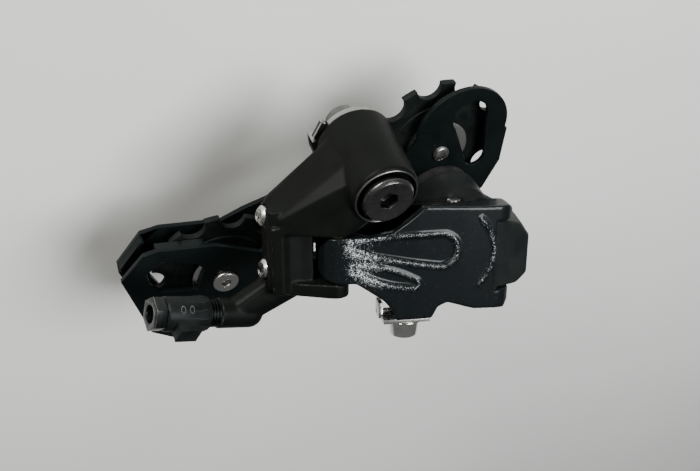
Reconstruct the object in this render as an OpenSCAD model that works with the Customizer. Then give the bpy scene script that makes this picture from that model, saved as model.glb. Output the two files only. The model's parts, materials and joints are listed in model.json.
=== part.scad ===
// Rear bicycle derailleur: long cage, slant parallelogram, sprung upper pivot.
// Frame: origin on the mounting bolt's axis at the hanger's outer face,
// +X forward on the bike, +Y up, +Z outboard along the mounting bolt.

/* [Mounting bolt] */
// Nominal thread diameter of the mounting bolt
thread_d = 10; // [9.6:0.1:10.4]
// Length of thread that stands in the hanger
thread_len = 9; // [6:0.5:12]
// Diameter of the bolt's head
bolt_head_d = 14.8; // [13.8:0.1:15.2]
// Height of the head's face above the hanger
bolt_head_z = 30; // [30:0.1:31]

/* [Bracket body] */
// Diameter of the bracket's barrel at its outboard rim
barrel_near_d = 19.6; // [18.8:0.1:20.4]
// Diameter of the bracket's barrel at its inboard rim
barrel_far_d = 23; // [21:0.1:23.6]

/* [Linkage] */
// Distance between a link's two pins
link_len = 45; // [44:0.5:48]
// Diameter of the four linkage pins
pin_d = 4; // [3:0.1:4.6]
// Half width of the outer link at its pulley-body end
link_half_w = 16.5; // [15.5:0.1:18]

/* [Cage] */
// Distance from the cage's pivot to the tension pulley's axle
tension_reach = 74.5; // [66:0.5:88]
// Thickness of a cage plate
plate_t = 1.6; // [1.3:0.1:2]
// Number of teeth on each pulley
pulley_teeth = 11; // [11:1:11]
// Width of a pulley's toothed rim
tooth_w = 2.2; // [1.6:0.1:2.8]

/* [Cable] */
// Diameter of the cable housing that the adjuster takes
housing_d = 5.2; // [4.2:0.1:5.6]
// Diameter of the cable clamp bolt's head at its base
clamp_head_d = 9; // [8:0.1:10]

/* [Hidden] */
$fn = 48;

fit = 0.05;                       // radial clearance of a running fit

// Upper pivot, along Z at the origin
plate_top = 1.6;                  // stop plate, from the hanger's face
seal_top = 2.9;
barrel_z0 = 3;
barrel_z1 = 27.7;
sleeve_r = 6;
sleeve_top = 27;
spring_room_r = 8.9;
socket_af = 5;                    // hex key, across flats
tab_turn = 258;                   // where the stop plate's tab and the b-tension screw stand
screw_r = 1.98;                   // small adjusting screws

// Linkage frame: x from bracket to pulley body, y outboard, z along the pins
link_origin = [-23, -9, 28];
link_tilt = [64, -11.3, -38];
pin_r = pin_d / 2;
inner_pin = [-9, -9];             // second pin, seen from the first
fork_lo = -8.4;                   // the bracket's fork, along the pins
fork_hi = 5.9;
arm_lo = -13;
arm_hi = 10;
knuckle_hw = 10.2;                // half width of the pulley body's knuckle

// Rear axis: the cable adjuster and the limit screws look rearward and up
rear_turn = [0, 103.3, 156.6];
adjuster_at = [-23, -9, 17.8];
boss_start = 2.8;                 // round inner end of the adjuster's boss
tube_r = 2.97;                    // cable adjuster's threaded tube
lobe_turn = -35;                  // thumb lobe on the adjuster's knob
clamp_at = [19.5, -0.4, 0];       // cable clamp bolt, in the linkage frame
clamp_r = 2.48;
high_screw_at = [-19, -6.6, -12.6];
low_screw_at = [-19, -6.6, 3.4];
limit_reach = 5.7;                  // a limit screw's length under its head

// Cage frame: origin on the cage's pivot, x toward the tension pulley, z as the row's Z
pivot_at = [6.2, -46.3, 0];
cage_turn = 158;
guide_at = [-3.9, -17];
stop_turn = 112;                  // the stop pin, in the cage frame
tension_at = [tension_reach, 0];
loop_at = [-12.4, -22.6];
loop_r = 15.4;
body_z0 = 2;
body_z1 = 17;
body_r = 13;
shaft_r = 4.5;
outer_z1 = -2;
outer_z0 = outer_z1 - plate_t;
pulley_z = -8;
inner_z1 = 2 * pulley_z - outer_z0;
inner_z0 = inner_z1 - plate_t;

// Chain pulleys, half inch pitch
pitch = 12.7;
roller_r = 4.05;
pitch_r = pitch / (2 * sin(180 / pulley_teeth));
tip_r = pitch_r + 0.35;
bush_r = 4;
axle_r = 2.5;

module linkage() { translate(link_origin) rotate(link_tilt) children(); }
module rear_axis(at) { linkage() translate(at) rotate(rear_turn) children(); }
module cage() { translate(pivot_at) rotate([0, 0, cage_turn]) children(); }
module swing_end() { linkage() translate([link_len, 0, 0]) children(); }

// Upright cylinder from z0 to z1
module rod(r, z0, z1) { translate([0, 0, z0]) cylinder(r = r, h = z1 - z0); }

// Cylinder with a 45 degree chamfer c at its top
module rod_chamfered(r, z0, z1, c) {
    rod(r, z0, z1 - c);
    translate([0, 0, z1 - c]) cylinder(r1 = r, r2 = r - c, h = c);
}

module ring(r, bore_r, z0, z1) {
    difference() { rod(r, z0, z1); rod(bore_r, z0 - 1, z1 + 1); }
}

// Hexagonal prism given across flats
module hex(af, z0, z1) {
    translate([0, 0, z0]) cylinder(r = af / sqrt(3), h = z1 - z0, $fn = 6);
}

// Prism with its outline given in the linkage frame's x and y
module link_prism(points, z0, z1) {
    translate([0, 0, z0]) linear_extrude(z1 - z0) polygon(points);
}

// Coil of round wire about Z, as a chain of short straight pieces
module coil(r, wire_r, z0, z1, turns, steps = 20) {
    n = turns * steps;
    for (i = [0 : n - 1]) {
        a = i * 360 / steps;
        rise = (z1 - z0 - 2 * wire_r) / n;
        chord = 2 * r * sin(180 / steps);
        translate([r * cos(a), r * sin(a), z0 + wire_r + i * rise])
            rotate([0, 0, a + 180 / steps])
                rotate([-90 + atan(rise / chord), 0, 0])
                    cylinder(r = wire_r, h = 1.06 * norm([chord, rise]), $fn = 10);
    }
}

// Coil of square-section rings, one a turn, joined by a straight spine
module ring_spring(r, wire, z0, z1, turns) {
    step = (z1 - z0 - wire) / (turns - 1);
    for (i = [0 : turns - 1])
        ring(r + wire / 2, r - wire / 2, z0 + i * step, z0 + i * step + wire);
    translate([r - wire / 2, -wire / 2, z0]) cube([wire, wire, z1 - z0]);
}

module cross_recess(r, depth, z) {
    for (a = [0, 90])
        rotate([0, 0, a]) translate([-r, -0.55, z - depth]) cube([2 * r, 1.1, depth + 1]);
}

// ---------------------------------------------------------------- upper pivot
module mounting_bolt() {
    color("dimgray") difference() {
        union() {
            rod(bolt_head_d / 2 - 0.7, sleeve_top + 0.05, bolt_head_z);
            rod(bolt_head_d / 2, sleeve_top + 0.05, bolt_head_z - 0.9);
            translate([0, 0, bolt_head_z - 0.9])
                cylinder(r1 = bolt_head_d / 2, r2 = bolt_head_d / 2 - 0.7, h = 0.9);
            rod(thread_d / 2 - 0.5, -thread_len + 1, sleeve_top + 0.1);
            rod(thread_d / 2, -thread_len + 1, 0);
            translate([0, 0, -thread_len])
                cylinder(r1 = thread_d / 2 - 0.9, r2 = thread_d / 2, h = 1);
        }
        translate([0, 0, bolt_head_z - 0.5]) cylinder(r1 = 4.6, r2 = 6.6, h = 0.6);
        hex(socket_af, bolt_head_z - 4, bolt_head_z + 1);
        difference() {
            rod(thread_d / 2 + 1, 0.2, 1.5);
            rod(thread_d / 2 - 0.9, 0, 2);
        }
    }
}

module pivot_sleeve() {
    color("silver") ring(sleeve_r, thread_d / 2 - 0.5 + fit, plate_top + 0.05, sleeve_top);
}

module retaining_ring() {
    color("gray") difference() {
        ring(thread_d / 2 + 0.75, thread_d / 2 - 0.9 + fit, 0.45, 1.3);
        translate([0, -1.4, 0]) cube([8, 2.8, 2]);
    }
}

module stop_plate() {
    color("silver") difference() {
        union() {
            rod(10, 0, plate_top);
            rotate([0, 0, tab_turn]) translate([0, -4, 0]) cube([17, 8, plate_top]);
            rotate([0, 0, tab_turn]) translate([12.4, 2.4, 0]) cube([4.6, 1.6, 7.6]);
            for (a = [118, 150]) rotate([0, 0, a]) translate([7, -2.7, 0]) cube([5, 5.4, plate_top]);
            rotate([0, 0, 150]) translate([9.8, -2.7, -3]) cube([2.2, 5.4, 4]);
        }
        rod(thread_d / 2 + 1.2, -1, plate_top + 1);
    }
}

module dust_seal() {
    color("black") ring(9.8, 8, plate_top, seal_top);
}

// -------------------------------------------------------------- bracket body
module barrel_outline() {
    translate([0, 0, barrel_z0])
        cylinder(r1 = barrel_far_d / 2, r2 = barrel_near_d / 2, h = barrel_z1 - barrel_z0 - 0.8);
    translate([0, 0, barrel_z1 - 0.8])
        cylinder(r1 = barrel_near_d / 2, r2 = barrel_near_d / 2 - 0.7, h = 0.8);
}

module bracket_solids() {
    barrel_outline();
    // shoulder from the barrel to the fork's upper arm
    hull() {
        translate([0, 0, 6]) cylinder(r1 = 10.4, r2 = 9.8, h = 12, $fn = 32);
        translate([0, 0, 17]) cylinder(r1 = 9.8, r2 = 7.6, h = 7, $fn = 32);
        linkage() {
            translate([0, 0, arm_lo]) cylinder(r = 4.4, h = 4.5, $fn = 32);
            translate([-9, -9, arm_lo]) cylinder(r = 5.5, h = 4.5, $fn = 32);
            translate([-14.6, -1.8, arm_lo - 0.6]) cylinder(r = 3, h = 4.5, $fn = 24);
            translate([-16.4, -8.2, arm_lo - 2.4]) sphere(r = 3.6, $fn = 24);
        }
    }
    // rear wall that carries the limit screws
    hull() linkage() {
        translate([-17, -10, arm_lo - 2.4]) cylinder(r = 3.5, h = arm_hi - arm_lo + 1.4, $fn = 28);
        translate([-16.6, -3.4, arm_lo - 2.4]) cylinder(r = 3.3, h = arm_hi - arm_lo + 0.4, $fn = 28);
        translate([-10, -12, arm_lo]) cylinder(r = 3, h = arm_hi - arm_lo - 1, $fn = 28);
    }
    // concave shelf between the rear wall and the outer link
    linkage() link_prism([[-18, -4], [-6.9, -5], [-6.8, -1], [-10.5, -0.8], [-13.4, -0.2], [-15.6, 1.2],
                          [-18.6, 0.6]], arm_lo + 2, arm_hi - 1);
    // lower arm of the fork
    hull() linkage() {
        translate([-0.6, 0, fork_hi]) cylinder(r = 3.7, h = arm_hi - fork_hi, $fn = 32);
        translate([-9, -9, fork_hi]) cylinder(r = 5, h = arm_hi - fork_hi, $fn = 32);
        translate([-16.4, -5, fork_hi]) cylinder(r = 3.6, h = arm_hi - fork_hi - 0.6, $fn = 32);
    }
    // boss of the cable adjuster and its web
    rear_axis(adjuster_at) {
        rod(4.4, boss_start, 13);
        translate([0, 0, boss_start]) sphere(r = 4.4);
    }
    hull() {
        rear_axis(adjuster_at) {
            translate([0, 0, boss_start]) cylinder(r = 3.2, h = 7.5, $fn = 24);
        }
        linkage() translate([-17, -8, fork_hi]) cylinder(r = 3.4, h = 4.4, $fn = 24);
        linkage() translate([-7, -9, arm_hi - 2]) cylinder(r = 2.4, h = 1.8, $fn = 24);
    }
    // lug of the b-tension screw
    rotate([0, 0, tab_turn]) translate([9, -8.6, barrel_z0 + 0.1]) cube([8, 7.2, 6]);
}

module bracket_body() {
    color([0.09, 0.09, 0.09]) difference() {
        bracket_solids();
        rod(sleeve_r + fit, 0, barrel_z1 + 1);
        rod(spring_room_r, 0, 19);
        rod(bolt_head_d / 2 + 1.2, sleeve_top - 0.6, barrel_z1 + 1);
        linkage() {
            // room for both links between the arms
            rod(5.4, fork_lo, fork_hi);
            link_prism([[0, 5.4], [-2, -5.4], [40, -30], [40, 12]], fork_lo, fork_hi);
            link_prism([[5, 7], [5, -10], [40, -30], [40, 14]], fork_lo - 1.8, fork_lo + 1);
            translate([inner_pin[0], inner_pin[1], 0]) rod(4.5, fork_lo, fork_hi);
            link_prism([[-9, -4.5], [-13, -11], [-10, -22], [40, -40], [40, -4.5]], fork_lo, fork_hi);
            // pin holes
            rod(pin_r - 0.02, arm_lo - 3, arm_hi + 1);
            translate([inner_pin[0], inner_pin[1], 0]) rod(pin_r - 0.02, arm_lo - 0.6, arm_hi + 1);
        }
        for (at = [high_screw_at, low_screw_at]) rear_axis(at) {
            rod(screw_r + fit, -limit_reach - 1, 3);
            rod(3.1, 0.4, 8);
        }
        rear_axis(adjuster_at) {
            rod(1.2, -12, 3);
            rod(tube_r + fit, 2, 14);
        }
        rotate([0, 0, tab_turn]) translate([14.6, 0, 6]) rotate([90, 0, 0]) rod(screw_r + fit, -1, 10);
    }
}

module bracket_spring() {
    color("gray") coil(7.45, 0.75, 4, 18.5, 6);
}

module b_tension_screw() {
    color("silver") rotate([0, 0, tab_turn]) translate([14.6, 0, 6]) rotate([90, 0, 0])
        difference() {
            union() { rod(screw_r, -2.1, 9.2); rod_chamfered(3.4, 9, 11.2, 0.6); }
            cross_recess(2.1, 1.4, 11.2);
        }
}

module limit_screw(at) {
    color("silver") rear_axis(at) difference() {
        union() {
            rod(screw_r, -limit_reach, 0.5);
            rod(2.8, 0.45, 2);
            translate([0, 0, 2]) cylinder(r1 = 2.8, r2 = 1.9, h = 0.7);
        }
        cross_recess(1.8, 1.5, 2.7);
    }
}

module high_limit_screw() { limit_screw(high_screw_at); }
module low_limit_screw() { limit_screw(low_screw_at); }

// ------------------------------------------------------------ cable adjuster
module adjuster_screw() {
    color("silver") rear_axis(adjuster_at) difference() {
        union() {
            rod(tube_r, 3, 31);
            intersection() {
                hex(8.6, 29.6, 33);
                translate([0, 0, 29]) cylinder(r1 = 9, r2 = 4.6, h = 4.2);
            }
        }
        rod(1.1, 0, 36);
        rod(housing_d / 2, 20.4, 36);
        translate([0, 0, 19]) cylinder(r1 = 1.1, r2 = housing_d / 2, h = 1.4);
    }
}

module adjuster_knob() {
    color([0.07, 0.07, 0.08]) rear_axis(adjuster_at) difference() {
        union() {
            rod_chamfered(4.9, 16.6, 29.4, 0.5);
            for (a = [0 : 30 : 330]) rotate([0, 0, a]) translate([4.75, 0, 0]) rod(0.4, 17.2, 19.6);
            rotate([0, 0, lobe_turn]) translate([-2.6, -7.6, 20.4]) cube([5.2, 4, 6.2]);
        }
        rod(tube_r + fit, 16, 30);
    }
}

module adjuster_spring() {
    color("gray") rear_axis(adjuster_at) ring_spring(3.7, 0.6, 13.1, 16.5, 4);
}

// ------------------------------------------------------------------- linkage
module bracket_pins() {
    color("silver") linkage() {
        rod(pin_r, arm_lo - 0.4, arm_hi + 0.4);
        translate([inner_pin[0], inner_pin[1], 0]) rod(pin_r, arm_lo - 0.4, arm_hi + 0.5);
    }
}

module link_bushes() {
    color("goldenrod") linkage() {
        for (z = [[fork_lo + 0.35, -3.4], [0.9, fork_hi - 0.35]])
            ring(pin_r + 0.7, pin_r + fit, z[0], z[1]);
        for (s = [[-12.6, -knuckle_hw - 0.3], [knuckle_hw + 0.3, 14.6]])
            translate([link_len, 0, 0]) ring(pin_r + 0.7, pin_r + fit, s[0], s[1]);
    }
}

module return_spring() {
    color("gray") linkage() translate([inner_pin[0], inner_pin[1], 0])
        coil(pin_r + 0.95, 0.5, -3.6, 1.5, 4, 16);
}

module outer_link_outline() {
    polygon([
        [-5.6, -1.5], [-5, -4], [-3.6, -7], [-2.9, fork_lo + 0.3], [8.4, fork_lo + 0.2],
        [15, -9.4], [20, -13], [24, -link_half_w], [link_len + 4, -link_half_w + 1.5],
        [link_len + 5.6, -link_half_w + 2.9],
        [link_len + 5.6, link_half_w - 1.6], [link_len + 4, link_half_w], [39, link_half_w - 0.9],
        [31, 12.8], [28.2, 14], [26.4, 17.4], [16, 17.4], [15, 14.4], [12.4, 11.2], [8, 8], [4.4, 5.6],
        [0, fork_hi - 0.3], [-4.2, 4.6], [-5.6, 3]
    ]);
}

// Side profile of the link's shell, in the linkage frame's x and y
module outer_link_profile() {
    polygon([
        [-5.6, -1.5], [-4.4, 1.8], [-1.6, 4], [8, 5], [22, 5.6], [36, 5.4], [46.5, 4.4],
        [48.6, 3.6], [50.6, 1.2], [50.6, -2.4], [48.6, -4], [41, -4], [39.6, 0.6], [30, 2.1],
        [8, 2], [4.6, -1.6], [2.4, -4], [-2.6, -4.2], [-4.8, -3.4]
    ]);
}

module outer_link() {
    color([0.16, 0.17, 0.18]) linkage() difference() {
        union() {
            intersection() {
                rotate([90, 0, 0]) translate([0, 0, -8]) linear_extrude(16) outer_link_outline();
                translate([0, 0, -20]) linear_extrude(40) outer_link_profile();
            }
            // edge walls of the shell and the cable anchor's boss
            link_prism([[16, 3], [26, 3], [26, -3.4], [16, -3.4]], 12.6, 17.4);
            link_prism([[26, 3], [42, 3], [42, -3], [28, -1]], -link_half_w + 1.4, -link_half_w + 4);
        }
        // the pulley body's knuckle turns in this gap
        translate([link_len, 0, 0]) {
            rod(4.1, -knuckle_hw - 0.3, knuckle_hw + 0.3);
            link_prism([[0.3, -9], [0.3, 9], [14, 9], [14, -9]], -knuckle_hw - 0.3, knuckle_hw + 0.3);
            link_prism([[-9, -9], [-9, 0], [0, 3.6], [9, 0], [9, -9]],
                       -knuckle_hw - 0.3, knuckle_hw + 0.3);
            rod(pin_r - 0.02, -link_half_w + 2.4, link_half_w + 1);
            for (s = [[-12.6, -9], [9, 14.6]]) rod(pin_r + 0.7, s[0], s[1]);
        }
        rod(pin_r + 0.7, fork_lo - 1, fork_hi + 1);
        translate(clamp_at) rod(clamp_r, 8, 19);
    }
}

module outer_link_pin() {
    color("silver") swing_end() rod(pin_r, -link_half_w + 2.45, link_half_w + 0.3);
}

module cable_clamp_plate() {
    color("silver") linkage() difference() {
        union() {
            translate([12.6, -4.6, 17.45]) cube([13.6, 8.8, 1.3]);
            translate([12.0, -4.6, 14]) cube([1.2, 4.4, 4.75]);
        }
        translate(clamp_at) rod(clamp_r + fit, 16, 20);
        // groove that holds the inner cable
        translate([11, -3.4, 17.4]) rotate([0, 90, 0]) rod(0.6, 0.8, 17);
    }
}

module cable_anchor_bolt() {
    color([0.8, 0.8, 0.78]) linkage() translate(clamp_at) difference() {
        union() {
            rod(clamp_r, 10, 19);
            rod(clamp_head_d / 2 + 0.6, 18.8, 19.5);
            translate([0, 0, 19.4]) cylinder(r1 = clamp_head_d / 2, r2 = 3.9, h = 4.6);
        }
        hex(socket_af, 21, 25);
    }
}

module inner_link() {
    color([0.14, 0.14, 0.15]) linkage() difference() {
        union() {
            translate([inner_pin[0], inner_pin[1], 0]) rod(3.8, fork_lo + 0.3, fork_hi - 0.3);
            rotate([90, 0, 0]) translate([0, 0, 7.4]) linear_extrude(3.2) polygon([
                [-9, fork_lo + 0.3], [6, fork_lo + 0.3], [18, -13.4], [36, -13.4],
                [36, 13.4], [18, 13.4], [6, fork_hi - 0.3], [-9, fork_hi - 0.3]
            ]);
            for (z = [-13.4, 10.5]) translate([link_len + inner_pin[0], inner_pin[1], z])
                cylinder(r = 3.8, h = 2.9);
        }
        // the pulley body stands between the two ears
        link_prism([[31, -20], [31, 0], [60, 0], [60, -20]], -knuckle_hw - 0.3, knuckle_hw + 0.3);
        translate([inner_pin[0], inner_pin[1], 0]) rod(pin_r + fit, -20, 20);
        // room for the return spring
        translate([inner_pin[0], inner_pin[1], 0]) rod(4.2, -3.9, 1.8);
        // lightening window
        rotate([90, 0, 0]) translate([0, 0, 5]) linear_extrude(8)
            polygon([[10, -4], [24, -7], [24, 6], [10, 3]]);
        translate([link_len + inner_pin[0], inner_pin[1], 0]) rod(pin_r - 0.02, -20, 20);
    }
}

module inner_link_pin() {
    color("silver") linkage() translate([link_len + inner_pin[0], inner_pin[1], 0])
        rod(pin_r, -13.7, 13.7);
}

// --------------------------------------------------------------- pulley body
module pulley_body_solids() {
    translate(pivot_at) {
        rod(body_r, body_z0, body_z1);
        rotate([0, 0, cage_turn + 94]) translate([body_r - 1, -2.5, body_z0]) cube([5.2, 5, 4]);
    }
    // knuckle between the outer link's arms
    hull() swing_end() {
        translate([0, 0, -knuckle_hw]) cylinder(r = 3.5, h = 2 * knuckle_hw, $fn = 32);
        translate([6, -2, 2 - knuckle_hw]) cylinder(r = 3.4, h = 2 * knuckle_hw - 2, $fn = 32);
        translate([9.6, -3.6, -3.6]) cylinder(r = 3.2, h = 11.6, $fn = 32);
        translate([6, -12, -knuckle_hw + 1]) cylinder(r = 4, h = 2 * knuckle_hw - 2, $fn = 28);
        translate([-9, -9, -knuckle_hw]) cylinder(r = 3.6, h = 2 * knuckle_hw, $fn = 32);
        translate([-7, -13, -knuckle_hw + 1]) cylinder(r = 3.4, h = 2 * knuckle_hw - 2, $fn = 28);
    }
    // neck down to the spring housing
    hull() {
        translate(pivot_at) translate([0, 0, 10]) cylinder(r = body_r - 0.4, h = body_z1 - 9.4, $fn = 32);
        swing_end() {
            translate([6, -12, -knuckle_hw + 1]) cylinder(r = 3.6, h = 2 * knuckle_hw - 2, $fn = 28);
            translate([-6, -14, -knuckle_hw + 1]) cylinder(r = 3, h = 2 * knuckle_hw - 2, $fn = 28);
        }
    }
}

module pulley_body() {
    color([0.13, 0.13, 0.14]) difference() {
        pulley_body_solids();
        translate(pivot_at) {
            rod(11.2, 0, 13.5);
            rod(shaft_r + 0.8, 0, 18.5);
            rotate([0, 0, 20]) translate([0, 0, 16.5]) rotate([0, 90, 0]) rod(0.95, 4, 15);
        }
        swing_end() {
            rod(pin_r + fit, -20, 20);
            translate([inner_pin[0], inner_pin[1], 0]) {
                rod(pin_r + 0.35, -20, 20);
                // sweep of the inner link's ears
                for (z = [-16, knuckle_hw + 0.05]) {
                    ear_room = 16 - knuckle_hw - 0.05;
                    translate([0, 0, z]) cylinder(r = 4.4, h = ear_room);
                    link_prism([[0, -4.4], [-14, -4.4], [-14, 12], [3.4, 2.8]], z, z + ear_room);
                }
            }
        }
    }
}

module pulley_body_bush() {
    color("goldenrod") translate(pivot_at) ring(shaft_r + 0.8, shaft_r + fit, 13.6, 15.2);
}

module cage_spring() {
    color("gray") translate(pivot_at) coil(8, 0.9, 3, 13, 4);
}

module shaft_retaining_screw() {
    color("silver") translate(pivot_at) rotate([0, 0, 20]) translate([0, 0, 16.5])
        rotate([0, 90, 0]) difference() {
            rod(0.95, 4.1, 12.8);
            hex(0.9, 11.8, 14);
        }
}

// ---------------------------------------------------------------------- cage
module cage_pivot_shaft() {
    color("silver") translate(pivot_at) {
        rod(shaft_r, outer_z0 - 0.01, 15.3);
        rod(shaft_r - 0.6, 15.2, 17.8);
        rod(shaft_r, 17.7, 18.3);
        rod(7.5, outer_z1, outer_z1 + 2.2);
    }
}

module cage_seal() {
    color("black") translate(pivot_at) ring(12, 9.6, outer_z1, body_z0 - 0.15);
}

// Slot with round ends; its sides stand a little inside the ends' radius
module slot(from, to, r) {
    d = to - from;
    side = 0.96 * r;
    translate(from) circle(r = r);
    translate(to) circle(r = r);
    translate(from) rotate(atan2(d[1], d[0])) translate([0, -side]) square([norm(d), 2 * side]);
}

// Outer plate: pivot disc, long arm, chevron nose and the loop round the guide pulley
module outer_plate_outline() {
    nose = tension_at;
    circle(r = 13.4);
    polygon([[-4, -12.6], [30, -8], [nose[0] - 14, -6.2], [nose[0] - 2, -17], [nose[0] + 14, -24],
             [nose[0] + 18.5, -24.4], [nose[0] + 28.4, -17.6], [nose[0] + 29.2, 10],
             [nose[0] + 24, 17], [nose[0] + 8, 20.5], [nose[0] - 6, 19.5],
             [nose[0] - 18, 13.5], [30, 11.4], [-2, 13.2]]);
    slot([0, 0], [16 * cos(stop_turn), 16 * sin(stop_turn)], 3.4);
    translate(loop_at) circle(r = loop_r);
    polygon([[-27.4, -16], [-24, -3], [-17, 6.6], [-9, 10.6], [8, -6], [7.6, -20.6],
             [-1.2, -29.3], [-9.1, -35], [-14, -22]]);
}

// Tapered window between the loop and the guide pulley's bolt
module loop_window() {
    translate([-15.4, -26.6]) circle(r = 5.9);
    translate([-15.3, -9]) circle(r = 3.5);
    polygon([[-21.1, -26.4], [-9.7, -26.4], [-12, -9], [-18.6, -9]]);
}

module outer_cage_plate() {
    w = tension_at;
    color([0.1, 0.11, 0.13]) cage() difference() {
        union() {
            translate([0, 0, outer_z0]) linear_extrude(plate_t) outer_plate_outline();
            // flange bent inboard along the nose's upper edge
            translate([w[0] - 2, -17, 0]) rotate([0, 0, -23.6])
                translate([3, 0.35, outer_z0 - 2.6]) cube([15, 1.4, 3]);
        }
        rod(shaft_r, -10, 4);
        translate(guide_at) rod(axle_r - 0.02, -10, 4);
        translate(tension_at) { rod(axle_r + fit, -10, 4); rod(4.35, outer_z1 - 0.6, 1); }
        translate([0, 0, -10]) linear_extrude(20)
            polygon([w + [20.6, -16.4], w + [14.6, -19.2], w + [5.5, -12.4], w + [4.2, -8.6],
                     w + [9.2, -1], w + [19.6, -6.6], w + [21.4, -11]]);
        translate([0, 0, -10]) linear_extrude(20)
            polygon([w + [19.6, 3.4], w + [9.2, 3.4], w + [6, 9], w + [8, 15], w + [19, 12.6], w + [22, 8]]);
        translate([0, 0, -10]) linear_extrude(20) slot([22, 2], [w[0] - 24, 3], 2.9);
        translate([0, 0, -10]) linear_extrude(20) loop_window();
    }
}

module inner_cage_plate() {
    w = tension_at;
    color([0.1, 0.11, 0.13]) cage() difference() {
        union() {
            translate([0, 0, inner_z0]) linear_extrude(plate_t) {
                polygon([[-6, -25.6], [20, -18.4], [w[0] - 14, -16.6], [w[0] - 6, -15.4],
                         [w[0] + 12, -23], [w[0] + 18, -23.6], [w[0] + 29, -15], [w[0] + 29.8, -8],
                         [w[0] + 29, 9], [w[0] + 24, 15.5], [w[0] + 8, 19], [w[0] - 6, 18],
                         [w[0] - 20, 9], [24, -1], [-2, -8.4]]);
                translate(guide_at) circle(r = 9);
            }
            // nose bent outboard, which keeps the chain on the tension pulley
            translate([w[0] + 28, -14.5, inner_z1 - 0.1]) cube([1.2, 18, 3]);
            translate([w[0] + 18.2, -23.5, inner_z1 - 0.1]) rotate([0, 0, 38])
                translate([0.3, 0.1, 0]) cube([12.8, 1.2, 3.2]);
        }
        for (at = [guide_at, tension_at]) translate(at) rod(axle_r + fit, -20, 0);
        translate(tension_at) rod(axle_r - 0.02, -20, 0);
        translate([0, 0, -20]) linear_extrude(20)
            polygon([w + [20, -15], w + [9, -15], w + [8.5, -5], w + [10, 6], w + [20, 8], w + [22, -4]]);
        translate([0, 0, -20]) linear_extrude(20) slot([18, -11.4], [w[0] - 24, -6.8], 3.4);
    }
}

module cage_stop_pin() {
    color("silver") cage() rotate([0, 0, stop_turn]) translate([15.6, 0, 0]) difference() {
        rod(2, outer_z1, outer_z1 + 6);
        rod(0.8, outer_z1 + 5, outer_z1 + 7);
    }
}

// ------------------------------------------------------------------- pulleys
module pulley_disc() {
    translate([0, 0, pulley_z]) difference() {
        union() {
            translate([0, 0, -tooth_w / 2]) linear_extrude(tooth_w) difference() {
                circle(r = tip_r);
                for (i = [0 : pulley_teeth - 1])
                    rotate(i * 360 / pulley_teeth) translate([pitch_r, 0]) circle(r = roller_r);
            }
            rod(15.2, -1.6, 1.6);
            rod(9.6, -2.9, 2.9);
        }
        rod(bush_r + fit, -5, 5);
        for (z = [1.7, -3]) rod(8.7, z, z + 1.3);
    }
}

module pulley_bush() {
    color("silver") translate([0, 0, pulley_z])
        ring(bush_r, axle_r + fit, -4.1, 4.1);
}

module pulley_caps() {
    color("silver") translate([0, 0, pulley_z])
        for (z = [1.85, -3.9]) ring(8.4, bush_r, z, z + 2.05);
}

module guide_pulley() {
    color([0.08, 0.08, 0.08]) cage() translate(guide_at) rotate([0, 0, 4.5]) pulley_disc();
}
module guide_pulley_bush() { cage() translate(guide_at) pulley_bush(); }
module guide_pulley_caps() { cage() translate(guide_at) pulley_caps(); }
module tension_pulley() {
    color([0.08, 0.08, 0.08]) cage() translate(tension_at) rotate([0, 0, 14]) pulley_disc();
}
module tension_pulley_bush() { cage() translate(tension_at) pulley_bush(); }
module tension_pulley_caps() { cage() translate(tension_at) pulley_caps(); }

// The guide pulley's bolt comes from the inboard side
module guide_pulley_bolt() {
    color("silver") cage() translate(guide_at) difference() {
        union() {
            rod_chamfered(axle_r, inner_z0 - 0.1, outer_z1 + 1, 0.5);
            rod(4.2, inner_z0 - 2.2, inner_z0);
        }
        hex(3, inner_z0 - 3, inner_z0 - 0.6);
    }
}

// The tension pulley's bolt comes from the outboard side
module tension_pulley_bolt() {
    color("silver") cage() translate(tension_at) difference() {
        union() {
            rod(axle_r, inner_z0 - 0.6, outer_z1);
            rod_chamfered(4.25, outer_z1 - 0.6, outer_z1 + 1.3, 0.4);
        }
        hex(3, outer_z1 - 1.2, outer_z1 + 2);
    }
}

mounting_bolt();
pivot_sleeve();
retaining_ring();
stop_plate();
dust_seal();
bracket_body();
bracket_spring();
b_tension_screw();
high_limit_screw();
low_limit_screw();
adjuster_screw();
adjuster_knob();
adjuster_spring();
bracket_pins();
link_bushes();
return_spring();
outer_link();
outer_link_pin();
cable_anchor_bolt();
cable_clamp_plate();
inner_link();
inner_link_pin();
pulley_body();
cage_spring();
shaft_retaining_screw();
pulley_body_bush();
cage_pivot_shaft();
cage_seal();
outer_cage_plate();
inner_cage_plate();
cage_stop_pin();
guide_pulley();
guide_pulley_bush();
guide_pulley_caps();
guide_pulley_bolt();
tension_pulley();
tension_pulley_bush();
tension_pulley_caps();
tension_pulley_bolt();
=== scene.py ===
"""Looks of a rear bicycle derailleur: castings, painted link, pressed cage, pulleys and fasteners.

Laid out as an add-on and run as a script. Sizes are in metres, in the part's own frame:
+X forward on the bicycle, +Y up, +Z outboard along the mounting bolt.
"""

import json
import math

import bmesh
import bpy
from mathutils import Euler, Matrix, Quaternion, Vector

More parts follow.
